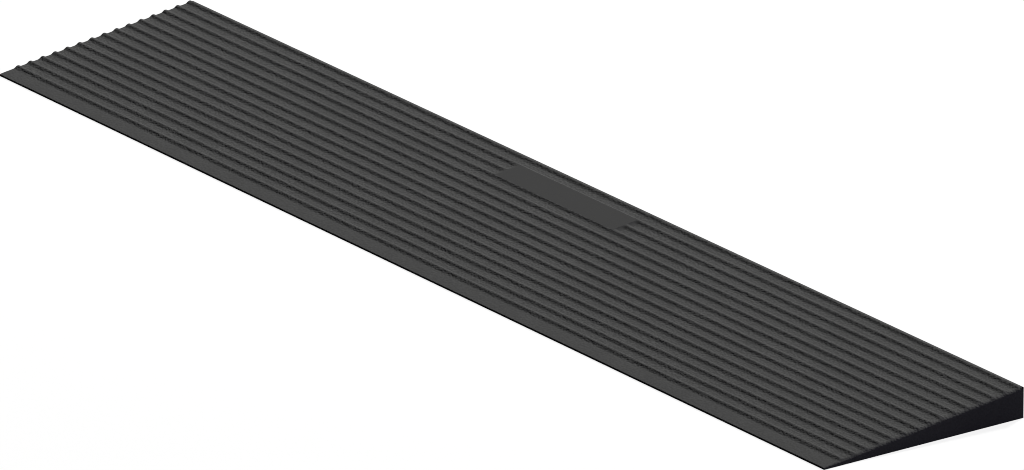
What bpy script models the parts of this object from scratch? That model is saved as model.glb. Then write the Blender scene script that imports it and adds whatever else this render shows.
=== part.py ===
"""Rubber kerb ramp: a moulded wedge with wave ribs on its slope, a blank plate let in and tape under it.

The length runs along X, the slope rises along +Y from the low front edge to the high rear face, and the
underside lies on Z = 0. Left and right are as seen by someone going up the ramp.
"""

import math

import bmesh
import bpy
from mathutils import Vector

# Overall size of the wedge, in metres; the rear height is that of the valleys, below the ribs
LENGTH = 1.102
WIDTH = 0.190
REAR_HEIGHT = 0.025
TIP_HEIGHT = 0.0017

# Lead-in strip: smooth, slightly crowned, in front of the first rib
LEAD_IN_MIN = 0.010
LEAD_IN_DROP = 0.0001
LEAD_IN_STEPS = 4

# Section of one wave rib, measured square to the slope
RIB_HEIGHT = 0.0015
RIB_FRONT_ANGLE = math.radians(28)
RIB_BACK_ANGLE = math.radians(39.5)
FRONT_FOOT_RADIUS = 0.00514
CREST_RADIUS = 0.00291
BACK_FOOT_RADIUS = 0.00364
VALLEY_WIDTH = 0.00314
REAR_MARGIN = 0.0036
FOOT_STEPS = 4
CREST_STEPS = 8

# The left end is cut square through the ribs. The right end comes out of the mould with a rounded upper edge,
# held to a share of the height where the wedge is thin
END_RADIUS = 0.0030
END_RADIUS_SHARE = 0.6
END_STEPS = 5

# Each rib falls to the base line at the right end, starting just before the rounded edge
RIB_END_MARGIN = 0.0005
RIB_RUN_OUT = 0.0027

# Blank plate between two rib crests, counted from the rear
PLATE_LENGTH = 0.156
PLATE_THICKNESS = 0.0030
PLATE_BEVEL_ANGLE = math.radians(28)
PLATE_REAR_RIB = 2
PLATE_PITCHES = 2

# Double-sided tape in shallow recesses under the ramp
TAPE_WIDTH = 0.025
TAPE_THICKNESS = 0.0008
TAPE_CORNER_RADIUS = 0.003
TAPE_CORNER_STEPS = 4
TAPE_END_MARGIN = 0.031
TAPE_MIDDLE_GAP = 0.040
FRONT_TAPE_INSET = 0.018
REAR_TAPE_INSET = 0.014

# Gap between pieces that touch
CLEARANCE = 0.0003
# How far a cutter reaches past the face that it opens
CUTTER_REACH = 0.002
SHARP_ANGLE = math.radians(25)
# Two points closer than this count as one
SAME_PLACE = 1e-6

# Base line of the slope, through the valleys between the ribs
SLOPE_RISE = REAR_HEIGHT - TIP_HEIGHT - LEAD_IN_DROP
SLOPE = math.atan2(SLOPE_RISE, WIDTH)
SLOPE_RUN = math.hypot(WIDTH, SLOPE_RISE)


def clear_scene():
    for obj in list(bpy.data.objects):
        bpy.data.objects.remove(obj, do_unlink=True)


def on_slope(along, above):
    """(y, z) of a point at a distance along the base line and a height square to it."""
    front_y = -WIDTH / 2
    front_z = TIP_HEIGHT + LEAD_IN_DROP
    y = front_y + along * math.cos(SLOPE) - above * math.sin(SLOPE)
    z = front_z + along * math.sin(SLOPE) + above * math.cos(SLOPE)
    return y, z


def flank_angle(wanted, radii):
    """The flank's angle, less where the two radii alone would already climb past the rib's height."""
    steepest = math.acos(max(1 - RIB_HEIGHT / radii, 0.0))
    return min(wanted, steepest)


def flank_length(angle, radii):
    """Straight part of a flank, left between its foot radius and the crest radius."""
    return (RIB_HEIGHT - radii * (1 - math.cos(angle))) / math.sin(angle)


FRONT_RADII = FRONT_FOOT_RADIUS + CREST_RADIUS
BACK_RADII = BACK_FOOT_RADIUS + CREST_RADIUS
FRONT_ANGLE = flank_angle(RIB_FRONT_ANGLE, FRONT_RADII)
BACK_ANGLE = flank_angle(RIB_BACK_ANGLE, BACK_RADII)
FRONT_RUN = FRONT_RADII * math.sin(FRONT_ANGLE) + flank_length(FRONT_ANGLE, FRONT_RADII) * math.cos(FRONT_ANGLE)
BACK_RUN = BACK_RADII * math.sin(BACK_ANGLE) + flank_length(BACK_ANGLE, BACK_RADII) * math.cos(BACK_ANGLE)
RIB_WIDTH = FRONT_RUN + BACK_RUN
RIB_PITCH = RIB_WIDTH + VALLEY_WIDTH
RIB_COUNT = 1 + int((SLOPE_RUN - REAR_MARGIN - FRONT_RUN - LEAD_IN_MIN) / RIB_PITCH)


def rib_crest(number):
    """Distance along the slope to the crest of a rib, counted from 1 at the rear edge."""
    return SLOPE_RUN - REAR_MARGIN - (number - 1) * RIB_PITCH


def rib_foot(number):
    """Distance along the slope to the front foot of a rib."""
    return rib_crest(number) - FRONT_RUN


def arc(centre, radius, start, end, steps):
    """Points on an arc from one angle to another, both measured from straight up, positive to the rear."""
    points = []
    for step in range(steps + 1):
        angle = start + (end - start) * step / steps
        points.append((centre[0] + radius * math.sin(angle), centre[1] + radius * math.cos(angle)))
    return points


def rib_section(foot):
    """Front foot radius, flank, crest radius, flank and back foot radius, as (along, above) points."""
    front_foot = arc((foot, FRONT_FOOT_RADIUS), FRONT_FOOT_RADIUS, math.pi, math.pi - FRONT_ANGLE, FOOT_STEPS)
    crest = arc((foot + FRONT_RUN, RIB_HEIGHT - CREST_RADIUS), CREST_RADIUS, -FRONT_ANGLE, BACK_ANGLE, CREST_STEPS)
    back = foot + RIB_WIDTH
    back_foot = arc((back, BACK_FOOT_RADIUS), BACK_FOOT_RADIUS, math.pi + BACK_ANGLE, math.pi, FOOT_STEPS)
    return front_foot + crest + back_foot


def top_profile():
    """The whole upper outline from the front edge to the rear face, as (along, above) points."""
    first_foot = rib_foot(RIB_COUNT)
    profile = []
    for step in range(LEAD_IN_STEPS):
        along = first_foot * step / LEAD_IN_STEPS
        crown = ((first_foot - along) / first_foot) ** 2
        profile.append((along, -LEAD_IN_DROP * crown))
    for number in range(RIB_COUNT, 0, -1):
        profile += rib_section(rib_foot(number))
    return cut_at_rear(without_repeats(profile))


def without_repeats(points):
    """Drops a point that lies on the one before it, as where an arc starts at the end of another."""
    kept = [points[0]]
    for point in points[1:]:
        if math.dist(point, kept[-1]) > SAME_PLACE:
            kept.append(point)
    return kept


def cut_at_rear(points):
    """Ends the outline where it meets the plane of the rear face."""
    points = points + [(SLOPE_RUN + RIB_PITCH, 0.0)]
    rear = WIDTH / 2
    kept = [point for point in points if on_slope(*point)[0] < rear - SAME_PLACE]
    inside, outside = points[len(kept) - 1:len(kept) + 1]
    inside_y = on_slope(*inside)[0]
    share = (rear - inside_y) / (on_slope(*outside)[0] - inside_y)
    return kept + [tuple(a + (b - a) * share for a, b in zip(inside, outside))]


def rib_share(inset):
    """Share of a rib's height that is left at a distance from the right end face, falling in an S."""
    share = 1 - (END_RADIUS + RIB_END_MARGIN - inset) / RIB_RUN_OUT
    share = min(max(share, 0.0), 1.0)
    return share * share * (3 - 2 * share)


def rounded_end(along, above):
    """(inset from the end face, y, z) of the points where one line of the slope runs out over the right end."""
    base_height = on_slope(along, min(above, 0.0))[1]
    radius = min(END_RADIUS, END_RADIUS_SHARE * base_height)
    insets = [(END_RADIUS + RIB_END_MARGIN, 0.0), (END_RADIUS + RIB_END_MARGIN / 2, 0.0)]
    for step in range(END_STEPS + 1):
        angle = math.pi / 2 * step / END_STEPS
        insets.append((radius * (1 - math.sin(angle)), radius * (1 - math.cos(angle))))
    points = []
    for inset, down in insets:
        left_over = above * rib_share(inset) if above > 0.0 else above
        y, z = on_slope(along, left_over)
        points.append((inset, min(y, WIDTH / 2), z - down))
    return points


def new_object(name, mesh, material):
    mesh.shade_smooth()
    mesh.set_sharp_from_angle(angle=SHARP_ANGLE)
    obj = bpy.data.objects.new(name, mesh)
    bpy.context.scene.collection.objects.link(obj)
    if material:
        mesh.materials.append(material)
    return obj


def mesh_from(bm, name):
    bmesh.ops.recalc_face_normals(bm, faces=bm.faces)
    mesh = bpy.data.meshes.new(name)
    bm.to_mesh(mesh)
    bm.free()
    return mesh


def cutter(name, mesh):
    obj = new_object(name, mesh, None)
    obj.hide_render = True
    obj.display_type = "WIRE"
    return obj


def cut(target, tool):
    modifier = target.modifiers.new(tool.name, "BOOLEAN")
    modifier.operation = "DIFFERENCE"
    modifier.solver = "EXACT"
    modifier.object = tool


def material(name, color, roughness):
    made = bpy.data.materials.new(name)
    made.use_nodes = True
    made.diffuse_color = (*color, 1.0)
    shader = made.node_tree.nodes["Principled BSDF"]
    shader.inputs["Base Color"].default_value = (*color, 1.0)
    shader.inputs["Roughness"].default_value = roughness
    shader.inputs["Metallic"].default_value = 0.0
    return made


def wedge_mesh():
    """The ribbed top as a grid of rows along the length, closed by its ends, front, rear and underside."""
    bm = bmesh.new()
    rows = []
    for along, above in top_profile():
        left = bm.verts.new((-LENGTH / 2, *on_slope(along, above)))
        right = [bm.verts.new((LENGTH / 2 - inset, y, z)) for inset, y, z in rounded_end(along, above)]
        rows.append([left] + right)
    for front, rear in zip(rows[:-1], rows[1:]):
        for column in range(len(front) - 1):
            bm.faces.new((front[column], front[column + 1], rear[column + 1], rear[column]))
    corners = [
        bm.verts.new((x, y, 0.0)) for x, y in (
            (-LENGTH / 2, -WIDTH / 2),
            (LENGTH / 2, -WIDTH / 2),
            (LENGTH / 2, WIDTH / 2),
            (-LENGTH / 2, WIDTH / 2),
        )
    ]
    front_left, front_right, rear_right, rear_left = corners
    bm.faces.new([front_left, front_right] + rows[0][::-1])
    bm.faces.new([rear_right, rear_left] + rows[-1])
    bm.faces.new([rear_left, front_left] + [row[0] for row in rows])
    bm.faces.new([front_right, rear_right] + [row[-1] for row in reversed(rows)])
    bm.faces.new(corners[::-1])
    return mesh_from(bm, "ramp_body")


def plate_mesh(name, grow, raise_top):
    """A slab whose ends slope out below its top face, grown on its sides and underside by a gap.

    Its own frame lies on the slope: the origin is the middle of the top face, Y runs up the slope.
    """
    half_width = (PLATE_PITCHES * RIB_PITCH - CLEARANCE) / 2 + grow
    half_top = PLATE_LENGTH / 2 + grow / math.sin(PLATE_BEVEL_ANGLE)
    spread = 1 / math.tan(PLATE_BEVEL_ANGLE)
    bm = bmesh.new()
    rings = []
    for z in (raise_top, -PLATE_THICKNESS - grow):
        half_length = half_top - z * spread
        ring = [
            bm.verts.new((side_x * half_length, side_y * half_width, z))
            for side_x, side_y in ((-1, -1), (1, -1), (1, 1), (-1, 1))
        ]
        rings.append(ring)
    top, bottom = rings
    bm.faces.new(top)
    bm.faces.new(bottom[::-1])
    for corner in range(4):
        following = (corner + 1) % 4
        bm.faces.new((bottom[corner], bottom[following], top[following], top[corner]))
    return mesh_from(bm, name)


def place_on_slope(obj):
    """Sets a plate or its cutter level with the crests, midway between the two that it spans."""
    middle = (rib_crest(PLATE_REAR_RIB) + rib_crest(PLATE_REAR_RIB + PLATE_PITCHES)) / 2
    y, z = on_slope(middle, RIB_HEIGHT)
    obj.location = (0.0, y, z)
    obj.rotation_euler = (SLOPE, 0.0, 0.0)


def strip_mesh(name, length, width, radius, low, high):
    """A flat strip with rounded corners, centred on its own origin, between two heights."""
    corners = (
        (length / 2 - radius, width / 2 - radius, 0.0),
        (radius - length / 2, width / 2 - radius, math.pi / 2),
        (radius - length / 2, radius - width / 2, math.pi),
        (length / 2 - radius, radius - width / 2, 1.5 * math.pi),
    )
    outline = []
    for x, y, start in corners:
        for step in range(TAPE_CORNER_STEPS + 1):
            angle = start + math.pi / 2 * step / TAPE_CORNER_STEPS
            outline.append((x + radius * math.cos(angle), y + radius * math.sin(angle)))
    bm = bmesh.new()
    base = bm.faces.new([bm.verts.new((x, y, low)) for x, y in outline])
    extruded = bmesh.ops.extrude_face_region(bm, geom=[base])
    raised = [item for item in extruded["geom"] if isinstance(item, bmesh.types.BMVert)]
    bmesh.ops.translate(bm, verts=raised, vec=Vector((0.0, 0.0, high - low)))
    return mesh_from(bm, name)


def make_body():
    rubber = material("moulded_rubber", (0.070, 0.070, 0.070), 0.85)
    return new_object("ramp_body", wedge_mesh(), rubber)


def make_plate(body):
    smooth_rubber = material("smooth_plate", (0.060, 0.060, 0.060), 0.6)
    pocket = cutter("plate_pocket", plate_mesh("plate_pocket", CLEARANCE, CUTTER_REACH))
    plate = new_object("blank_plate", plate_mesh("blank_plate", 0.0, 0.0), smooth_rubber)
    for obj in (pocket, plate):
        place_on_slope(obj)
    cut(body, pocket)


def make_tapes(body):
    foam = material("tape_foam", (0.020, 0.020, 0.021), 0.7)
    length = (LENGTH - 2 * TAPE_END_MARGIN - TAPE_MIDDLE_GAP) / 2
    offset = (TAPE_MIDDLE_GAP + length) / 2
    rows = {
        "front": FRONT_TAPE_INSET + TAPE_WIDTH / 2 - WIDTH / 2,
        "rear": WIDTH / 2 - REAR_TAPE_INSET - TAPE_WIDTH / 2,
    }
    tape_mesh = strip_mesh("mounting_tape", length, TAPE_WIDTH, TAPE_CORNER_RADIUS, 0.0, TAPE_THICKNESS)
    recess_mesh = strip_mesh(
        "tape_recess",
        length + 2 * CLEARANCE,
        TAPE_WIDTH + 2 * CLEARANCE,
        TAPE_CORNER_RADIUS + CLEARANCE,
        -CUTTER_REACH,
        TAPE_THICKNESS + CLEARANCE,
    )
    for row, y in rows.items():
        for side, x in (("left", -offset), ("right", offset)):
            recess = cutter(f"tape_recess_{row}_{side}", recess_mesh)
            tape = new_object(f"mounting_tape_{row}_{side}", tape_mesh, None)
            for obj in (recess, tape):
                obj.location = (x, y, 0.0)
            cut(body, recess)
    tape_mesh.materials.append(foam)


def main():
    clear_scene()
    body = make_body()
    make_plate(body)
    make_tapes(body)


main()
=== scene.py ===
"""Rubber kerb ramp, dressed for its picture.

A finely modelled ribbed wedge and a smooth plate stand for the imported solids, every piece gets its finish,
and a white studio is set round them. The length runs along X and the slope rises along +Y.
"""

import math

import bmesh
import bpy
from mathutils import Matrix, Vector


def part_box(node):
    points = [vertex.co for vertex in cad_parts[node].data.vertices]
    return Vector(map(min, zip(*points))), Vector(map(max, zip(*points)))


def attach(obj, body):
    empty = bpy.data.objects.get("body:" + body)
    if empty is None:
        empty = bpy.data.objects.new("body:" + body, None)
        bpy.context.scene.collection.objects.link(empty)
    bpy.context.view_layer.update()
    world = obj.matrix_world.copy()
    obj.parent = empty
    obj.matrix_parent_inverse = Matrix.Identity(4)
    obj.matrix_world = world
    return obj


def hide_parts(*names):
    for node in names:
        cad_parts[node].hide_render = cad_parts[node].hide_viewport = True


bl_info = {
    "name": "Rubber Kerb Ramp",
    "version": (1, 0, 0),
    "blender": (4, 5, 0),
    "location": "3D View > Sidebar > Kerb Ramp",
    "description": "Models and finishes a ribbed rubber kerb ramp round its packed solids",
    "category": "Object",
}

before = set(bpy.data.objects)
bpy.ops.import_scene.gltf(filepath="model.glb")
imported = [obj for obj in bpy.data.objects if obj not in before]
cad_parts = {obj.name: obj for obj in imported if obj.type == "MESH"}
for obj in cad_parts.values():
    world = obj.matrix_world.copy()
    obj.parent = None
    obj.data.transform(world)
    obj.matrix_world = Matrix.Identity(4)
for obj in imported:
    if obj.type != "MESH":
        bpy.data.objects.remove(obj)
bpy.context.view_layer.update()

MILLIMETRE = 0.001

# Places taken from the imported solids
WEDGE_LOW, WEDGE_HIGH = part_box("ramp_body")
TAPE_NODES = [name for name in sorted(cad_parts) if name.startswith("mounting_tape")]

# How near a point is to count as on a face, and on another point
ON_FACE = 2e-5
ON_POINT = ON_FACE / 10

# Longest stretch of mesh along the length, and the turn between two points of an arc and of an edge's round
STATION_STEP = 0.025
ARC_TURN = math.radians(5)
EDGE_TURN = 3 * ARC_TURN

# Steps of the right end's round, the left end's round, the lead-in and the plate's run-outs
END_STEPS = 14
EDGE_STEPS = 4
LEAD_STEPS = 6
RUN_OUT_STEPS = 12

# The section's corners are rounded more than the ends by this factor, so that they never shrink to a point
CORNER_SHARE = 1.2

# Edges that turn by more than this are sharp, and faces this square to an axis are flat
SHARP_ANGLE = math.radians(35)
SQUARE_SHARE = 0.9999

# Power of the plate's fall on the right, and where the ribs' finish starts and is whole on its left run-out
RIGHT_FALL_POWER = 2.5
FINISH_START = 0.35
FINISH_END = 0.6

# Depth of the mould's grain round the ribs and on the plate's flat, as a share of that on the ribs
SMOOTH_GRAIN = 0.5
PLATE_GRAIN = 0.05

# Roughness of the moulded and the ground rubber, its change with the bloom, and its loss where scuffed
MOULDED_ROUGHNESS = 0.85
GROUND_ROUGHNESS = 0.70
BLOOM_ROUGHNESS = 0.05
SCUFF_POLISH = 0.15

# Wear and a painted highlight along the ends' rounds, which is most two thirds of the way down, and the
# share that ribs are spared
END_WEAR_AND_HIGHLIGHT = 2.2
RIB_SPARED = 0.6

# Share of the darker tone on the lead-in: at the front edge and at the foot of the first rib
FRONT_DARK_TONE = 0.3
FOOT_DARK_TONE = 0.1

# Width and depth of the foam's cells, which are about 0.3 mm wide and are drawn wider to show
CELL_WIDTH = 0.8 * MILLIMETRE
CELL_DEPTH = 0.03 * MILLIMETRE

# Where the fill and the lamp under the floor stand, and how wide they look
FILL_AZIMUTH = math.radians(-90)
FILL_HEIGHT = math.radians(15)
FILL_WIDTH = math.radians(40)
UNDER_HEIGHT = math.radians(-90)
UNDER_WIDTH = math.radians(20)


def outline_height(y):
    """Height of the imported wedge's outline at its front or rear face."""
    return max(v.co.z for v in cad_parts["ramp_body"].data.vertices if abs(v.co.y - y) < ON_FACE)


def smooth_step(share):
    """A share of a way that starts and ends gently."""
    return share * share * (3 - 2 * share)


def linear(code):
    """Linear RGBA of an sRGB colour written as six hex digits."""
    channels = [int(code[start:start + 2], 16) / 255 for start in (0, 2, 4)]
    return tuple(c / 12.92 if c <= 0.04045 else ((c + 0.055) / 1.055) ** 2.4 for c in channels) + (1.0,)


def length_prop(name, description, default):
    return bpy.props.FloatProperty(
        name=name, description=description, default=default, min=0.0, precision=5, unit="LENGTH"
    )


def angle_prop(name, description, degrees):
    return bpy.props.FloatProperty(
        name=name, description=description, default=math.radians(degrees), subtype="ANGLE"
    )


def factor_prop(name, description, default, highest=1.0):
    return bpy.props.FloatProperty(
        name=name, description=description, default=default, min=0.0, max=highest, subtype="FACTOR"
    )


def colour_prop(name, description, code):
    return bpy.props.FloatVectorProperty(
        name=name, description=description, default=linear(code), size=4, min=0.0, max=1.0, subtype="COLOR"
    )


class TreadSizes(bpy.types.PropertyGroup):
    """Sizes of the ribbed slope, measured square to it."""

    lead_in_min: length_prop("Lead-in", "Least smooth width in front of the first rib", 0.010)
    lead_in_drop: length_prop("Lead-in drop", "Fall of the lead-in below the slope, at its front", 0.0001)
    rib_height: length_prop("Rib height", "Crest above the valley", 0.0015)
    front_angle: angle_prop("Front flank", "Steepest part of a rib's front, from the slope", 28)
    back_angle: angle_prop("Back flank", "Steepest part of a rib's back, from the slope", 39.5)
    front_foot_radius: length_prop("Front foot radius", "Hollow between valley and front flank", 0.00514)
    crest_radius: length_prop("Crest radius", "Round of the rib's top", 0.00291)
    back_foot_radius: length_prop("Back foot radius", "Hollow between back flank and valley", 0.00364)
    valley_width: length_prop("Valley width", "Flat between two ribs", 0.00314)
    rear_margin: length_prop("Rear margin", "From the last crest to the rear face", 0.0036)
    end_radius: length_prop("End radius", "Round between the slope and the right end face", 0.0030)
    end_radius_share: factor_prop("End radius share", "Most of the wedge's height that the round takes", 0.6)
    rib_end: length_prop("Rib end", "From the right end face to where the ribs are whole", 0.0045)
    rib_run_out: length_prop("Rib run-out", "Length of a rib's fall to nothing at the right end", 0.0042)
    edge_radius: length_prop("Edge radius", "Break of the other edges, and of the square left end", 0.0001)


class PlateSizes(bpy.types.PropertyGroup):
    """Sizes of the smooth plate between two rib crests."""

    left: length_prop("Left foot", "From the ramp's middle to the plate's left end", 0.0852)
    right: length_prop("Right foot", "From the ramp's middle to the plate's right end", 0.082)
    left_run_out: length_prop("Left run-out", "Length over which the left end falls to the ribs", 0.0070)
    right_run_out: length_prop("Right run-out", "Length over which the right end falls to the ribs", 0.0050)
    thickness: length_prop("Thickness", "From the crests down to the plate's underside", 0.0030)
    soft_edge: length_prop("Soft edge", "Width over which the flat turns into a run-out", 0.0003)
    seam: length_prop("Seam", "Gap between the plate and its pocket", 0.00003)
    rear_rib: bpy.props.IntProperty(
        name="Rear rib", description="Rib whose crest ends the plate, from the rear", default=2, min=1
    )
    pitches: bpy.props.IntProperty(
        name="Pitches", description="Rib pitches that the plate spans", default=2, min=1
    )


class TapeSizes(bpy.types.PropertyGroup):
    """Room round the tape under the ramp."""

    gap: length_prop("Recess gap", "Room between a strip of tape and its recess", 0.0003)


class RubberFinish(bpy.types.PropertyGroup):
    """Tones and grain of the rubber and the tape."""

    rubber: colour_prop("Rubber", "Moulded rubber under a thin bloom", "4B4B4B")
    rubber_bloom: colour_prop("Bloom", "Greyer patches where the bloom is thicker", "4E4E4E")
    # Painted shade on the backs of the ribs, and the lead-in's darker tone
    rubber_shade_tone: colour_prop("Bare rubber", "Moulded rubber where the bloom is rubbed off", "444444")
    # Edge wear, and a painted highlight along the ends' rounds
    rubber_scuffed_and_lit: colour_prop("Scuffed", "Rubber on edges that things knock against", "545454")
    plate: colour_prop("Plate", "Rubber of the smooth plate", "434343")
    tape: colour_prop("Tape", "Foam tape under its release film", "252526")
    tape_cells: colour_prop("Tape cells", "Walls of the foam's cells", "2E2E30")
    shine: factor_prop("Shine", "Specular level of rubber and foam, fitted to the photo's matt look", 0.002)
    grain: length_prop("Grain width", "Grain of the spark-eroded mould, drawn coarse enough to show", 0.0018)
    grain_depth: length_prop("Grain depth", "Height of that grain on the ribs", 0.0005)
    speckle: factor_prop("Speckle", "Difference of the grain's hollows and peaks from the mean tone", 0.12)
    bloom_width: length_prop("Bloom width", "Width of a patch of bloom", 0.030)
    scuff_width: length_prop("Scuff width", "Width of a rubbed spot", 0.004)


class StudioSettings(bpy.types.PropertyGroup):
    """Lamps, backdrop and camera."""

    key_level: factor_prop("Key level", "Light of the key lamp on a surface that faces it", 1.58, 4.0)
    key_azimuth: angle_prop("Key azimuth", "Direction of the key lamp, from +Y towards -X", 18.1)
    key_height: angle_prop("Key height", "Key lamp above the horizon", 43.5)
    key_distance: length_prop("Key distance", "From the key lamp to the ramp, for its light's fall-off", 9.5)
    key_width: length_prop("Key width", "Width of the key lamp, which softens its shadow", 1.3)
    key_colour: colour_prop("Key colour", "White, warm enough to balance the fill on the slope", "FFFFFD")
    fill_level: factor_prop("Fill level", "Light of the fill lamp on the right end", 0.20)
    fill_colour: colour_prop("Fill colour", "Cool light from the right", "C0BCDA")
    under_level: factor_prop("Underside level", "Light from below, which the floor keeps off the rest", 0.9)
    ambient: colour_prop("Ambient", "Light from all round", "1C1C1C")
    backdrop: colour_prop("Backdrop", "Plain pale surroundings, as the camera shows them", "FFFFFF")
    floor_tone: colour_prop("Floor tone", "Floor as the ramp's own sides see it", "505050")
    shadow_share: factor_prop("Shadow share", "How much of the floor's brightness the lamps give it", 0.12)
    floor_reach: length_prop("Floor reach", "From the ramp to the floor's edges", 12.0)
    azimuth: angle_prop("Camera azimuth", "Camera round the ramp, from -Y towards +X", 54.064)
    elevation: angle_prop("Camera elevation", "Camera above the horizon", 20.048)
    distance: length_prop("Camera distance", "From the camera to the middle of the underside", 13.476)
    lens: bpy.props.FloatProperty(
        name="Lens", description="Focal length, sensor 36 mm wide", default=605.47, min=1.0, unit="CAMERA"
    )
    aim_right: length_prop("Aim right", "Middle of the picture to the right of the ramp's middle", 0.01128)
    aim_up: length_prop("Aim up", "Middle of the picture above the ramp's middle", 0.00573)
    pixel_filter: bpy.props.FloatProperty(
        name="Pixel filter", description="Width of the picture's soft edges, in pixels", default=1.0, min=0.5
    )


def arc(centre, radius, start, end):
    """Points on an arc between two angles from straight up, as (along, above)."""
    steps = max(2, math.ceil(abs(end - start) / ARC_TURN))
    angles = [start + (end - start) * step / steps for step in range(steps + 1)]
    return [(centre[0] + radius * math.sin(a), centre[1] + radius * math.cos(a)) for a in angles]


def without_repeats(points):
    """Drops each point that lies on the one before it."""
    kept = points[:1]
    for point in points[1:]:
        if math.dist(point, kept[-1]) > ON_POINT:
            kept.append(point)
    return kept


class Tread:
    """The ribbed slope, in distances along its base line and heights square to it."""

    def __init__(self, sizes):
        self.sizes = sizes
        self.front_y = WEDGE_LOW.y
        self.front_z = outline_height(WEDGE_LOW.y) + sizes.lead_in_drop
        self.front_run = self.flank_run(sizes.front_foot_radius, sizes.front_angle)
        self.back_run = self.flank_run(sizes.back_foot_radius, sizes.back_angle)
        cut_off = self.back_run - sizes.rear_margin
        heel_rise = sizes.back_foot_radius - math.sqrt(sizes.back_foot_radius ** 2 - cut_off ** 2)
        width = WEDGE_HIGH.y - WEDGE_LOW.y
        rise = outline_height(WEDGE_HIGH.y) - heel_rise - self.front_z
        self.angle = math.atan2(rise, width)
        self.length = math.hypot(rise, width)
        self.rib_width = self.front_run + self.back_run
        self.pitch = self.rib_width + sizes.valley_width
        room = self.length - sizes.rear_margin - self.front_run - sizes.lead_in_min
        self.rib_count = 1 + int(room / self.pitch)

    def flank_run(self, foot_radius, angle):
        """Distance from a rib's foot to its crest: foot arc, straight flank and crest arc."""
        radii = foot_radius + self.sizes.crest_radius
        straight = (self.sizes.rib_height - radii * (1 - math.cos(angle))) / math.sin(angle)
        return radii * math.sin(angle) + straight * math.cos(angle)

    def place(self, along, above):
        """(y, z) of a point on or over the slope."""
        y = self.front_y + along * math.cos(self.angle) - above * math.sin(self.angle)
        z = self.front_z + along * math.sin(self.angle) + above * math.cos(self.angle)
        return y, z

    def measure(self, y, z):
        """(along, above) of a point."""
        dy = y - self.front_y
        dz = z - self.front_z
        along = dy * math.cos(self.angle) + dz * math.sin(self.angle)
        return along, dz * math.cos(self.angle) - dy * math.sin(self.angle)

    def rib_share(self, inset):
        """Share of a rib's height that is left at a distance from the right end face."""
        share = 1 - (self.sizes.rib_end - inset) / self.sizes.rib_run_out
        return smooth_step(min(max(share, 0.0), 1.0))

    def crest(self, number):
        """Distance along the slope to the crest of a rib, counted from 1 at the rear."""
        return self.length - self.sizes.rear_margin - (number - 1) * self.pitch

    def shade_and_tone(self, along):
        """Share of the darker tone: some on the lead-in, and painted shade most well down a rib's back."""
        first_crest = self.crest(self.rib_count)
        first_foot = first_crest - self.front_run
        if along < first_foot:
            return FRONT_DARK_TONE + (FOOT_DARK_TONE - FRONT_DARK_TONE) * along / first_foot
        # Painted shade on each rib's back, most well down it
        behind = (along - first_crest) % self.pitch / self.back_run
        if along < first_crest or behind > 1:
            return 0.0
        return math.sin(math.pi * behind ** 2)

    def rib(self, crest):
        """Section of one rib, from its front foot to its back foot."""
        sizes = self.sizes
        top = (crest, sizes.rib_height - sizes.crest_radius)
        front = (crest - self.front_run, sizes.front_foot_radius)
        back = (crest + self.back_run, sizes.back_foot_radius)
        return (
            arc(front, sizes.front_foot_radius, math.pi, math.pi - sizes.front_angle)
            + arc(top, sizes.crest_radius, -sizes.front_angle, 0.0)
            + arc(top, sizes.crest_radius, 0.0, sizes.back_angle)
            + arc(back, sizes.back_foot_radius, math.pi + sizes.back_angle, math.pi)
        )

    def profile(self):
        """The whole upper outline as (along, above) points, from the front edge to the rear face."""
        first_foot = self.crest(self.rib_count) - self.front_run
        points = []
        for step in range(LEAD_STEPS):
            along = first_foot * step / LEAD_STEPS
            points.append((along, -self.sizes.lead_in_drop * (1 - along / first_foot) ** 2))
        for number in range(self.rib_count, 0, -1):
            points += self.rib(self.crest(number))
        return self.cut_at_rear(without_repeats(points))

    def cut_at_rear(self, points):
        """Ends the outline where it meets the rear face."""
        within = [point for point in points if self.place(*point)[0] < WEDGE_HIGH.y - ON_FACE]
        inside, outside = points[len(within) - 1:len(within) + 1]
        inner_y = self.place(*inside)[0]
        share = (WEDGE_HIGH.y - inner_y) / (self.place(*outside)[0] - inner_y)
        return within + [tuple(a + (b - a) * share for a, b in zip(inside, outside))]


def fillet(before, corner, after, radius):
    """Points of an arc that rounds the corner between two straight legs, all as (y, z)."""
    leg_in = (Vector(before) - Vector(corner)).normalized()
    leg_out = (Vector(after) - Vector(corner)).normalized()
    half = leg_in.angle(leg_out) / 2
    centre = Vector(corner) + (leg_in + leg_out).normalized() * radius / math.sin(half)
    start = Vector(corner) + leg_in * radius / math.tan(half) - centre
    turn = start.angle_signed(Vector(corner) + leg_out * radius / math.tan(half) - centre)
    steps = max(2, math.ceil(abs(turn) / EDGE_TURN))
    points = []
    for step in range(steps + 1):
        angle = -turn * step / steps
        across = Vector((-start.y, start.x))
        points.append(tuple(centre + start * math.cos(angle) + across * math.sin(angle)))
    return points


class OutlinePoint:
    """A point of the closed section, the way the ends' rounds draw it, and the right one's radius there."""

    def __init__(self, y, z, pull, radius, wear_and_highlight=0.0, end_wear_and_highlight=1.0):
        self.y = y
        self.z = z
        self.pull = Vector(pull).normalized()
        self.radius = radius
        self.wear_and_highlight = wear_and_highlight
        self.end_wear_and_highlight = end_wear_and_highlight
        self.rise = Vector((0.0, 0.0))
        self.shade_and_tone = 0.0
        self.ribbed = 0.0


def rounded_corner(before, corner, after, edge, first, last, worn_and_highlit=1.0):
    """Outline points of a rounded corner with edge wear, which also scales the wear and painted highlight of
    the ends' rounds there. first and last are the (pull, radius) of its legs.
    """
    made = []
    points = fillet(before, corner, after, CORNER_SHARE * edge)
    for number, (y, z) in enumerate(points):
        share = number / (len(points) - 1)
        pull = Vector(first[0]).lerp(Vector(last[0]), share)
        radius = first[1] + (last[1] - first[1]) * share
        made.append(OutlinePoint(y, z, pull, radius, worn_and_highlit * math.sin(share * math.pi), worn_and_highlit))
    return made


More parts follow.
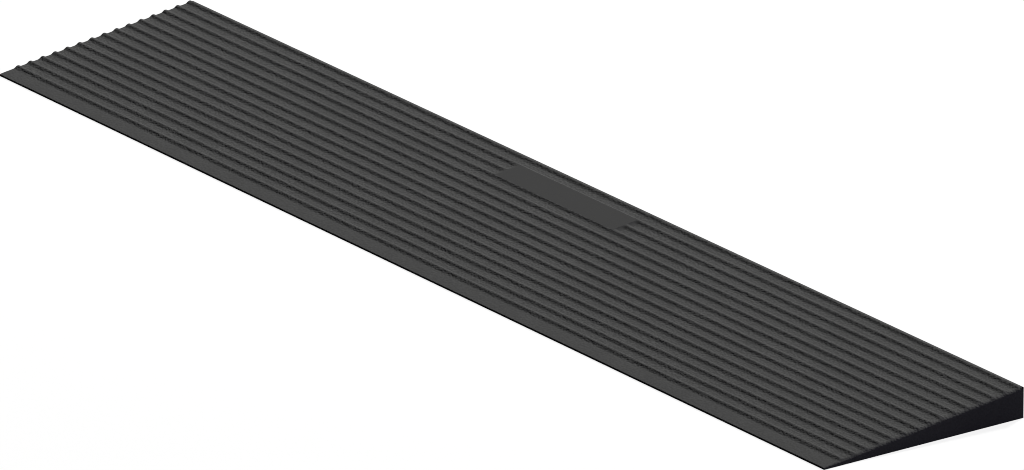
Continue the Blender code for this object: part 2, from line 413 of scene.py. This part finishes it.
def wedge_outline(tread):
    """The closed section of the wedge, from the front bottom corner over the top and round."""
    sizes = tread.sizes
    edge = sizes.edge_radius
    low, front, rear = WEDGE_LOW.z, WEDGE_LOW.y, WEDGE_HIGH.y
    top = [(tread.place(*point), tread.place(point[0], min(point[1], 0.0))) for point in tread.profile()]
    tip = top[0][0]
    heel = top[-1][0]
    first_foot = tread.crest(tread.rib_count) - tread.front_run

    def top_round(z):
        return min(sizes.end_radius, sizes.end_radius_share * (z - low))

    front_leg = ((1, 0), edge)
    rear_leg = ((-1, 0), edge)
    under_leg = ((0, 1), edge)
    outline = rounded_corner((rear, low), (front, low), tip, edge, under_leg, front_leg, 0.0)
    outline += rounded_corner((front, low), tip, top[1][0], edge, front_leg, ((0, -1), top_round(tip[1])))
    for (y, z), (base_y, base_z) in top:
        if math.dist((y, z), tip) > 2 * edge and math.dist((y, z), heel) > 2 * edge:
            point = OutlinePoint(y, z, (0, -1), top_round(base_z))
            point.rise = Vector((y - base_y, z - base_z))
            # Less wear and painted highlight on the ends' rounds where ribs stand
            point.end_wear_and_highlight = 1 - RIB_SPARED * point.rise.length / sizes.rib_height
            along = tread.measure(y, z)[0]
            point.shade_and_tone = tread.shade_and_tone(along)
            point.ribbed = 0.0 if along < first_foot else 1.0
            outline.append(point)
    last = (outline[-1].y, outline[-1].z)
    outline += rounded_corner(last, heel, (rear, low), edge, ((0, -1), top_round(heel[1])), rear_leg)
    outline += rounded_corner(heel, (rear, low), (front, low), edge, rear_leg, under_leg, 0.0)
    return outline


def evenly(start, end):
    """Places from start to end, both included, no further apart than the mesh's longest step."""
    steps = math.ceil((end - start) / STATION_STEP)
    return [start + (end - start) * step / steps for step in range(steps + 1)]


def new_mesh(bm, name):
    """The mesh with its faces turned outwards, smooth up to its sharp edges."""
    bmesh.ops.recalc_face_normals(bm, faces=bm.faces)
    mesh = bpy.data.meshes.new(name)
    bm.to_mesh(mesh)
    bm.free()
    mesh.set_sharp_from_angle(angle=SHARP_ANGLE)
    return mesh


def new_object(name, data):
    """Adds an object with a mesh, a lamp or a camera to the scene."""
    obj = bpy.data.objects.new(name, data)
    bpy.context.scene.collection.objects.link(obj)
    return obj


def join_rings(bm, rings):
    """Quads between each two neighbouring closed rings of the same length."""
    for ring, following in zip(rings[:-1], rings[1:]):
        for number in range(len(ring)):
            after = (number + 1) % len(ring)
            bm.faces.new((ring[number], ring[after], following[after], following[number]))


def wedge_mesh(tread, plate):
    """Closed rings along the length, drawn in by the ends' rounds, with the plate's pocket sunk in."""
    outline = wedge_outline(tread)
    half = WEDGE_HIGH.x
    bm = bmesh.new()
    wear_and_highlight, shade_and_tone, ribbed = [bm.verts.layers.float.new(name) for name in ("wear_and_highlight", "shade_and_tone", "ribbed")]

    def ring(side, inset, turn=0.0):
        """The section at an inset from an end face, or with no inset at a turn into the round there."""
        made = []
        for point in outline:
            radius = point.radius if side > 0 else tread.sizes.edge_radius
            drawn = point.pull * radius * (1 - math.cos(turn))
            depth = radius * (1 - math.sin(turn)) if inset is None else inset
            share = tread.rib_share(depth) if side > 0 else 1.0
            sunk = point.rise * (1 - share)
            y = point.y + drawn.x - sunk.x
            z = point.z + drawn.y - sunk.y
            vertex = bm.verts.new((side * (half - depth), y, z))
            # Wear and a painted highlight along the ends' rounds, most two thirds of the way down
            worn_and_highlit = END_WEAR_AND_HIGHLIGHT * math.sin(turn) ** 3 * math.cos(turn)
            vertex[wear_and_highlight] = max(point.wear_and_highlight, point.end_wear_and_highlight * worn_and_highlit)
            vertex[shade_and_tone] = point.shade_and_tone * math.cos(turn)
            vertex[ribbed] = point.ribbed * math.cos(turn)
            made.append(vertex)
        return made

    left_turns = [math.pi / 2 * step / EDGE_STEPS for step in range(EDGE_STEPS, -1, -1)]
    right_turns = [math.pi / 2 * step / END_STEPS for step in range(END_STEPS + 1)]
    outer = half - tread.sizes.rib_end
    inner = half - STATION_STEP / 2
    middle = (outer + half - tread.sizes.end_radius) / 2
    stations = evenly(-inner, -plate.left)
    stations += evenly(-plate.left, plate.right)[1:]
    stations += evenly(plate.right, inner)[1:] + [outer, middle]
    rings = [ring(-1, None, turn) for turn in left_turns]
    rings += [ring(math.copysign(1, x), half - abs(x)) for x in stations]
    rings += [ring(1, None, turn) for turn in right_turns]
    join_rings(bm, rings)
    for cap in (rings[0], rings[-1][::-1]):
        bm.faces.new(cap)
    sink_pocket(bm, tread, plate)
    return new_mesh(bm, "ribbed_wedge")


def plate_span(tread, plate):
    """Distances along the slope to the plate's front and rear edges."""
    return tread.crest(plate.rear_rib + plate.pitches), tread.crest(plate.rear_rib)


def sink_pocket(bm, tread, plate):
    """Sinks the part of the slope under the plate to a flat floor."""
    front, rear = plate_span(tread, plate)
    covered = []
    for face in bm.faces:
        middle = face.calc_center_median()
        along, above = tread.measure(middle.y, middle.z)
        upper = above > -tread.sizes.rib_height
        if upper and front < along < rear and -plate.left < middle.x < plate.right:
            covered.append(face)
    sunk = bmesh.ops.extrude_face_region(bm, geom=covered)["geom"]
    bmesh.ops.delete(bm, geom=covered, context="FACES")
    floor = tread.sizes.rib_height - plate.thickness - plate.seam
    for item in sunk:
        if isinstance(item, bmesh.types.BMVert):
            along, above = tread.measure(item.co.y, item.co.z)
            item.co.y, item.co.z = tread.place(along, floor)


def plate_mesh(tread, plate):
    """A slab level with the crests. It falls to the ribs in an S on the left, and abruptly on the right."""
    front, rear = plate_span(tread, plate)
    height = tread.sizes.rib_height
    left = plate.seam - plate.left
    right = plate.right - plate.seam
    falls = [step / RUN_OUT_STEPS for step in range(RUN_OUT_STEPS + 1)]
    stations = [left + plate.left_run_out * share for share in falls]
    stations += evenly(stations[-1] + plate.soft_edge, right - plate.right_run_out - plate.soft_edge)
    stations += [right - plate.right_run_out * share for share in reversed(falls)]
    points = [point for point in tread.profile() if front - ON_FACE <= point[0] <= rear + ON_FACE]
    points[0] = (front + plate.seam, height)
    points[-1] = (rear - plate.seam, height)
    bm = bmesh.new()
    shade_and_tone, ribbed = [bm.verts.layers.float.new(name) for name in ("shade_and_tone", "ribbed")]
    rings = []
    for x in stations:
        left_share = max(0.0, 1 - (x - left) / plate.left_run_out)
        right_share = max(0.0, 1 - (right - x) / plate.right_run_out)
        down = max(smooth_step(left_share), 1 - (1 - right_share) ** RIGHT_FALL_POWER)
        upper = [(along, height + (above - height) * down) for along, above in points]
        lower = [(points[-1][0], height - plate.thickness), (points[0][0], height - plate.thickness)]
        ring = [bm.verts.new((x, *tread.place(*point))) for point in upper + lower]
        finished = (left_share - FINISH_START) / (FINISH_END - FINISH_START)
        for vertex in ring:
            vertex[ribbed] = min(1.0, max(0.0, finished))
            vertex[shade_and_tone] = 1 - vertex[ribbed]
        rings.append(ring)
    join_rings(bm, rings)
    for cap in (rings[0], rings[-1][::-1]):
        bm.faces.new(cap)
    return new_mesh(bm, "smooth_plate_inlay")


def recess_cutter(name, gap):
    """A strip of tape's own solid, grown by the gap and reaching down through the underside."""
    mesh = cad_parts[name].data.copy()
    low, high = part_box(name)
    middle = (low + high) / 2
    for vertex in mesh.vertices:
        for axis in range(2):
            vertex.co[axis] += math.copysign(gap, vertex.co[axis] - middle[axis])
        vertex.co.z = high.z + gap if vertex.co.z > middle.z else low.z - gap
    return new_object(name + "_recess", mesh)


def shade_flat(mesh):
    """Shades the ends, the rear and the underside flat, up to the rounds along their edges."""
    for face in mesh.polygons:
        facing = max(abs(face.normal.x), face.normal.y, -face.normal.z)
        face.use_smooth = facing < SQUARE_SHARE


def cut_recesses(obj, gap):
    """Cuts the tape's recesses and keeps only the mesh that this leaves."""
    cutters = [recess_cutter(name, gap) for name in TAPE_NODES]
    for tool in cutters:
        modifier = obj.modifiers.new(tool.name, "BOOLEAN")
        modifier.operation = "DIFFERENCE"
        modifier.solver = "EXACT"
        modifier.object = tool
    graph = bpy.context.evaluated_depsgraph_get()
    uncut = obj.data
    obj.data = bpy.data.meshes.new_from_object(obj.evaluated_get(graph))
    obj.modifiers.clear()
    bpy.data.meshes.remove(uncut)
    for tool in cutters:
        bpy.data.objects.remove(tool, do_unlink=True)


def add_node(tree, kind, settings=None, inputs=None):
    """Adds a node with its own settings and its inputs: an output is linked, and any other value is set."""
    node = tree.nodes.new(kind)
    for name, value in (settings or {}).items():
        setattr(node, name, value)
    for name, value in (inputs or {}).items():
        if isinstance(value, bpy.types.NodeSocket):
            tree.links.new(value, node.inputs[name])
        else:
            node.inputs[name].default_value = value
    return node


def new_tree(name):
    """An empty node material and its tree."""
    material = bpy.data.materials.new(name)
    material.use_nodes = True
    material.node_tree.nodes.clear()
    return material, material.node_tree


def rubber_material(name, tones, roughness, smooth_grain, finish):
    """Rubber out of a steel mould. tones are a darker tone, then its colours under a thin bloom and under a
    thick one. On the wedge the darker tone is painted shade on the ribs' backs and a darker lead-in. On the
    plate it is the plate's own tone.
    """
    dark_tone, plain, bloomed = tones
    material, tree = new_tree(name)
    place = add_node(tree, "ShaderNodeTexCoord").outputs["Object"]
    wear_and_highlight = add_node(tree, "ShaderNodeAttribute", {"attribute_name": "wear_and_highlight"})
    shade_and_tone = add_node(tree, "ShaderNodeAttribute", {"attribute_name": "shade_and_tone"})
    ribbed = add_node(tree, "ShaderNodeAttribute", {"attribute_name": "ribbed"})
    # Bloom lies in soft patches. The darker tone is painted shade well down the ribs' backs and darkens the
    # lead-in. On the plate it is the plate's own tone
    bloom = add_node(tree, "ShaderNodeTexNoise", None, {
        "Vector": place, "Scale": 1 / finish.bloom_width, "Detail": 3.0, "Roughness": 0.6,
    })
    cloud = add_node(tree, "ShaderNodeMapRange", None, {
        "Value": bloom.outputs["Fac"], "From Min": 0.35, "From Max": 0.65,
    })
    patches = add_node(tree, "ShaderNodeMix", {"data_type": "RGBA"}, {
        0: cloud.outputs["Result"], 6: plain, 7: bloomed,
    })
    ground = add_node(tree, "ShaderNodeMix", {"data_type": "RGBA"}, {
        0: shade_and_tone.outputs["Fac"], 6: patches.outputs[2], 7: dark_tone,
    })
    # Worn edges are scuffed in spots, and a little all over. Along the ends' rounds the lighter scuff tone
    # is also a painted highlight, less on the ribs
    scuffs = add_node(tree, "ShaderNodeTexNoise", None, {
        "Vector": place, "Scale": 1 / finish.scuff_width, "Detail": 4.0, "Roughness": 0.7,
    })
    spots = add_node(tree, "ShaderNodeMapRange", None, {
        "Value": scuffs.outputs["Fac"], "From Min": 0.3, "From Max": 0.6, "To Min": 0.3,
    })
    scuffed_and_highlit = add_node(tree, "ShaderNodeMath", {"operation": "MULTIPLY"}, {
        0: spots.outputs["Result"], 1: wear_and_highlight.outputs["Fac"],
    })
    colour = add_node(tree, "ShaderNodeMix", {"data_type": "RGBA"}, {
        0: scuffed_and_highlit.outputs["Value"], 6: ground.outputs[2], 7: finish.rubber_scuffed_and_lit,
    })
    # Bloom dulls the rubber, and scuffing smooths it
    dullness = add_node(tree, "ShaderNodeMapRange", None, {
        "Value": cloud.outputs["Result"],
        "To Min": roughness - BLOOM_ROUGHNESS, "To Max": roughness + BLOOM_ROUGHNESS,
    })
    polish = add_node(tree, "ShaderNodeMath", {"operation": "MULTIPLY_ADD"}, {
        0: scuffed_and_highlit.outputs["Value"], 1: -SCUFF_POLISH, 2: dullness.outputs["Result"],
    })
    # The mould's grain is deepest on the ribs, and shallower where the bloom is thin
    grain = add_node(tree, "ShaderNodeTexNoise", None, {
        "Vector": place, "Scale": 1 / finish.grain, "Detail": 0.0,
    })
    patchy = add_node(tree, "ShaderNodeMapRange", None, {
        "Value": cloud.outputs["Result"], "To Min": 0.6,
    })
    depth = add_node(tree, "ShaderNodeMapRange", None, {
        "Value": ribbed.outputs["Fac"], "To Min": smooth_grain,
    })
    strength = add_node(tree, "ShaderNodeMath", {"operation": "MULTIPLY"}, {
        0: patchy.outputs["Result"], 1: depth.outputs["Result"],
    })
    bump = add_node(tree, "ShaderNodeBump", None, {
        "Height": grain.outputs["Fac"], "Distance": finish.grain_depth,
        "Strength": strength.outputs["Value"],
    })
    # Bloom stays in the hollows of the grain and is rubbed off its peaks
    hollows = add_node(tree, "ShaderNodeMapRange", None, {
        "Value": grain.outputs["Fac"], "From Min": 0.3, "From Max": 0.7,
        "To Min": 1 + finish.speckle, "To Max": 1 - finish.speckle,
    })
    speckled = add_node(tree, "ShaderNodeMix", {"data_type": "RGBA", "blend_type": "MULTIPLY"}, {
        0: depth.outputs["Result"], 6: colour.outputs[2], 7: hollows.outputs["Result"],
    })
    shader = add_node(tree, "ShaderNodeBsdfPrincipled", None, {
        "Base Color": speckled.outputs[2],
        "Roughness": polish.outputs["Value"],
        "IOR": 1.52,
        "Specular IOR Level": finish.shine,
        "Normal": bump.outputs["Normal"],
    })
    add_node(tree, "ShaderNodeOutputMaterial", None, {"Surface": shader.outputs["BSDF"]})
    return material


def give_material(obj, material):
    """Makes a material the only one of an object."""
    obj.data.materials.clear()
    obj.data.materials.append(material)


class KERBRAMP_OT_wedge(bpy.types.Operator):
    """Model the ribbed wedge and give it its moulded finish"""

    bl_idname = "kerb_ramp.wedge"
    bl_label = "Ribbed Wedge"

    def execute(self, context):
        scene = context.scene
        finish = scene.ramp_finish
        wedge = new_object("ribbed_wedge", wedge_mesh(Tread(scene.ramp_tread), scene.ramp_plate))
        cut_recesses(wedge, scene.ramp_tape.gap)
        shade_flat(wedge.data)
        # Carbon-black rubber pressed in a spark-eroded mould: matt, even and dark grey in the light
        # The first tone is painted shade on the ribs' backs and the lead-in's darker tone
        tones = (finish.rubber_shade_tone, finish.rubber, finish.rubber_bloom)
        rubber = rubber_material("moulded_rubber", tones, MOULDED_ROUGHNESS, SMOOTH_GRAIN, finish)
        give_material(wedge, rubber)
        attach(wedge, "root")
        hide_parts("ramp_body")
        return {"FINISHED"}


class KERBRAMP_OT_plate(bpy.types.Operator):
    """Model the smooth plate and give it its finish"""

    bl_idname = "kerb_ramp.plate"
    bl_label = "Smooth Plate"

    def execute(self, context):
        scene = context.scene
        finish = scene.ramp_finish
        plate = new_object("plate_inlay", plate_mesh(Tread(scene.ramp_tread), scene.ramp_plate))
        # The same rubber off a ground insert in the mould: almost no grain, smoother and a shade darker
        tones = (finish.plate, finish.rubber, finish.rubber_bloom)
        rubber = rubber_material("ground_mould_rubber", tones, GROUND_ROUGHNESS, PLATE_GRAIN, finish)
        give_material(plate, rubber)
        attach(plate, "root")
        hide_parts("blank_plate")
        return {"FINISHED"}


class KERBRAMP_OT_tapes(bpy.types.Operator):
    """Give the strips of tape under the ramp their foam finish"""

    bl_idname = "kerb_ramp.tapes"
    bl_label = "Mounting Tapes"

    def execute(self, context):
        finish = context.scene.ramp_finish
        # Closed-cell polyethylene foam: near black, with fine cell walls that catch a little light
        material, tree = new_tree("closed_cell_foam")
        place = add_node(tree, "ShaderNodeTexCoord").outputs["Object"]
        cells = add_node(tree, "ShaderNodeTexVoronoi", {"feature": "DISTANCE_TO_EDGE"}, {
            "Vector": place, "Scale": 1 / CELL_WIDTH,
        })
        walls = add_node(tree, "ShaderNodeMapRange", None, {
            "Value": cells.outputs["Distance"], "From Max": 0.2, "To Min": 1.0, "To Max": 0.0,
        })
        colour = add_node(tree, "ShaderNodeMix", {"data_type": "RGBA"}, {
            0: walls.outputs["Result"], 6: finish.tape, 7: finish.tape_cells,
        })
        bump = add_node(tree, "ShaderNodeBump", None, {
            "Height": walls.outputs["Result"], "Distance": CELL_DEPTH,
        })
        shader = add_node(tree, "ShaderNodeBsdfPrincipled", None, {
            "Base Color": colour.outputs[2],
            "Roughness": 0.7,
            "IOR": 1.5,
            "Specular IOR Level": finish.shine,
            "Normal": bump.outputs["Normal"],
        })
        add_node(tree, "ShaderNodeOutputMaterial", None, {"Surface": shader.outputs["BSDF"]})
        for name in TAPE_NODES:
            give_material(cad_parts[name], material)
        return {"FINISHED"}


def shown_rays(tree):
    """1 for the rays that show the backdrop: from the camera, off gloss or through something clear."""
    path = add_node(tree, "ShaderNodeLightPath")
    either = add_node(tree, "ShaderNodeMath", {"operation": "MAXIMUM"}, {
        0: path.outputs["Is Camera Ray"], 1: path.outputs["Is Glossy Ray"],
    })
    both = add_node(tree, "ShaderNodeMath", {"operation": "MAXIMUM"}, {
        0: either.outputs["Value"], 1: path.outputs["Is Transmission Ray"],
    })
    return both.outputs["Value"]


def aim_lamp(name, lamp, azimuth, height, distance, colour):
    """Stands a lamp off from the ramp's middle and turns it there."""
    lamp.color = colour[:3]
    obj = new_object(name, lamp)
    flat = math.cos(height)
    towards = Vector((-math.sin(azimuth) * flat, math.cos(azimuth) * flat, math.sin(height)))
    obj.location = towards * distance
    obj.rotation_euler = towards.to_track_quat("Z", "Y").to_euler()
    return obj


def add_sun(name, azimuth, height, level, width, colour):
    """Even light that brings a surface facing it to a level, where 1 shows white as white."""
    lamp = bpy.data.lights.new(name, "SUN")
    lamp.energy = math.pi * level
    lamp.angle = width
    aim_lamp(name, lamp, azimuth, height, 1.0, colour)


def add_disk(name, azimuth, height, level, width, distance, colour):
    """A round lamp that brings a surface facing it at the ramp's middle to a level."""
    lamp = bpy.data.lights.new(name, "AREA")
    lamp.shape = "DISK"
    lamp.size = width
    lamp.energy = level * (math.pi * distance) ** 2
    aim_lamp(name, lamp, azimuth, height, distance, colour).visible_camera = False


def add_floor(studio):
    """A pale sheet that is open under the ramp, so that a look from below shows the underside."""
    hidden_margin = 2 * MILLIMETRE
    below = 0.05 * MILLIMETRE
    reach = studio.floor_reach
    outer = [(-reach, -reach), (reach, -reach), (reach, reach), (-reach, reach)]
    x = WEDGE_HIGH.x - hidden_margin
    y = WEDGE_HIGH.y - hidden_margin
    inner = [(-x, -y), (x, -y), (x, y), (-x, y)]
    bm = bmesh.new()
    rings = [[bm.verts.new((px, py, WEDGE_LOW.z - below)) for px, py in ring] for ring in (outer, inner)]
    join_rings(bm, rings)
    floor = new_object("floor", new_mesh(bm, "floor"))
    # Matt white paper: the camera sees it white with a faint shadow, and the ramp's sides see it grey
    material, tree = new_tree("pale_floor")
    lit = add_node(tree, "ShaderNodeBsdfDiffuse", None, {"Color": studio.floor_tone})
    share = studio.shadow_share
    shaded = add_node(tree, "ShaderNodeBsdfDiffuse", None, {"Color": (share, share, share, 1.0)})
    glow = add_node(tree, "ShaderNodeEmission", None, {"Color": studio.backdrop, "Strength": 1 - share})
    pale = add_node(tree, "ShaderNodeAddShader", None, {0: shaded.outputs[0], 1: glow.outputs[0]})
    mixed = add_node(tree, "ShaderNodeMixShader", None, {
        0: shown_rays(tree), 1: lit.outputs[0], 2: pale.outputs[0],
    })
    add_node(tree, "ShaderNodeOutputMaterial", None, {"Surface": mixed.outputs[0]})
    give_material(floor, material)


def add_world(studio):
    """Plain pale surroundings, and dim even light from them."""
    world = bpy.data.worlds.new("studio")
    bpy.context.scene.world = world
    world.use_nodes = True
    tree = world.node_tree
    tree.nodes.clear()
    dim = add_node(tree, "ShaderNodeBackground", None, {"Color": studio.ambient})
    bright = add_node(tree, "ShaderNodeBackground", None, {"Color": studio.backdrop})
    mixed = add_node(tree, "ShaderNodeMixShader", None, {
        0: shown_rays(tree), 1: dim.outputs[0], 2: bright.outputs[0],
    })
    add_node(tree, "ShaderNodeOutputWorld", None, {"Surface": mixed.outputs[0]})


def add_camera(studio):
    """Stands the camera round the ramp at the photograph's angle."""
    camera = bpy.data.cameras.new("camera")
    camera.lens = studio.lens
    camera.clip_start = 0.1
    camera.clip_end = 100.0
    obj = new_object("camera", camera)
    flat = math.cos(studio.elevation)
    across = math.sin(studio.azimuth) * flat
    back = Vector((across, -math.cos(studio.azimuth) * flat, math.sin(studio.elevation)))
    turned = back.to_track_quat("Z", "Y")
    obj.location = back * studio.distance
    target = turned @ Vector((studio.aim_right, studio.aim_up, 0.0))
    obj.rotation_euler = (obj.location - target).to_track_quat("Z", "Y").to_euler()
    bpy.context.scene.camera = obj


class KERBRAMP_OT_studio(bpy.types.Operator):
    """Set the floor, backdrop, lamps and camera"""

    bl_idname = "kerb_ramp.studio"
    bl_label = "Studio"

    def execute(self, context):
        studio = context.scene.ramp_studio
        add_floor(studio)
        add_world(studio)
        add_disk(
            "key", studio.key_azimuth, studio.key_height, studio.key_level, studio.key_width,
            studio.key_distance, studio.key_colour,
        )
        add_sun("fill", FILL_AZIMUTH, FILL_HEIGHT, studio.fill_level, FILL_WIDTH, studio.fill_colour)
        add_sun("under", 0.0, UNDER_HEIGHT, studio.under_level, UNDER_WIDTH, studio.key_colour)
        add_camera(studio)
        context.scene.view_settings.view_transform = "Standard"
        context.scene.cycles.filter_width = studio.pixel_filter
        return {"FINISHED"}


SETTINGS = {
    "ramp_tread": TreadSizes,
    "ramp_plate": PlateSizes,
    "ramp_tape": TapeSizes,
    "ramp_finish": RubberFinish,
    "ramp_studio": StudioSettings,
}
OPERATORS = (KERBRAMP_OT_wedge, KERBRAMP_OT_plate, KERBRAMP_OT_tapes, KERBRAMP_OT_studio)


class KERBRAMP_PT_panel(bpy.types.Panel):
    """The steps and settings of the kerb ramp"""

    bl_idname = "KERBRAMP_PT_panel"
    bl_label = "Kerb Ramp"
    bl_space_type = "VIEW_3D"
    bl_region_type = "UI"
    bl_category = "Kerb Ramp"

    def draw(self, context):
        for operator in OPERATORS:
            self.layout.operator(operator.bl_idname)
        for name, group in SETTINGS.items():
            box = self.layout.box()
            for prop in group.__annotations__:
                box.prop(getattr(context.scene, name), prop)


CLASSES = (*SETTINGS.values(), *OPERATORS, KERBRAMP_PT_panel)


def register():
    for cls in CLASSES:
        bpy.utils.register_class(cls)
    for name, group in SETTINGS.items():
        setattr(bpy.types.Scene, name, bpy.props.PointerProperty(type=group))


def unregister():
    for name in SETTINGS:
        delattr(bpy.types.Scene, name)
    for cls in reversed(CLASSES):
        bpy.utils.unregister_class(cls)


def main():
    register()
    bpy.ops.kerb_ramp.wedge()
    bpy.ops.kerb_ramp.plate()
    bpy.ops.kerb_ramp.tapes()
    bpy.ops.kerb_ramp.studio()


if __name__ == "__main__":
    main()
